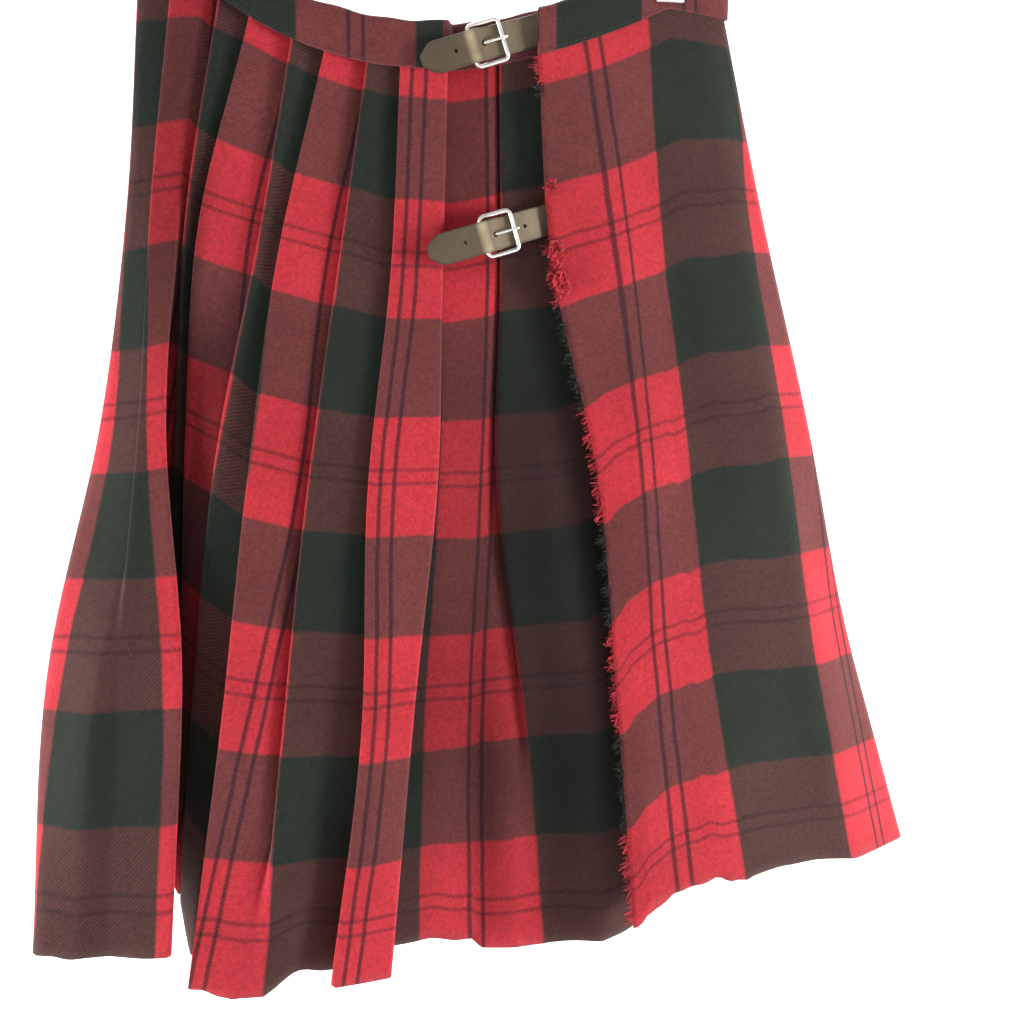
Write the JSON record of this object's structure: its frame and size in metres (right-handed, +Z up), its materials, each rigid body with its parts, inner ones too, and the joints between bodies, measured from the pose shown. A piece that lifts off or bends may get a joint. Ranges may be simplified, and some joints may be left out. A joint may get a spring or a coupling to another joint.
{
  "type": "scottish kilt on a clip hanger",
  "caption": "Kilted wrap skirt in red and green tartan with knife pleats, a fringed over apron and two side straps, hung from a clip hanger.",
  "frame": {"origin": "the inner top of the hanger's hook, where it hangs on a rail", "axes": "+Z up, -Y the kilt's front, +X the wearer's left as seen from the front (the viewer's right)"},
  "size_m": [0.6079, 0.1702, 0.7792],
  "materials": {
    "tartan_cloth": "wool tartan, twill weave, slightly napped",
    "strap_leather": "dark brown strap leather, worn sheen",
    "buckle_metal": "nickel plated wire",
    "hanger_plastic": "white moulded plastic",
    "hook_steel": "plated steel wire"
  },
  "bodies": {
    "root": {"skirt_front": "tartan_cloth", "skirt_apron": "tartan_cloth", "skirt_back": "tartan_cloth", "apron_fringe": "tartan_cloth", "waistband_front": "tartan_cloth", "waistband_apron": "tartan_cloth", "waistband_back": "tartan_cloth", "strap_upper": "strap_leather", "strap_lower": "strap_leather", "tab_upper": "strap_leather", "tab_lower": "strap_leather", "buckle_upper": "buckle_metal", "buckle_lower": "buckle_metal", "prong_upper": "buckle_metal", "prong_lower": "buckle_metal", "hanger_bar": "hanger_plastic", "clip_left": "hanger_plastic", "clip_right": "hanger_plastic", "hook": "hook_steel"}
  },
  "joints": []
}
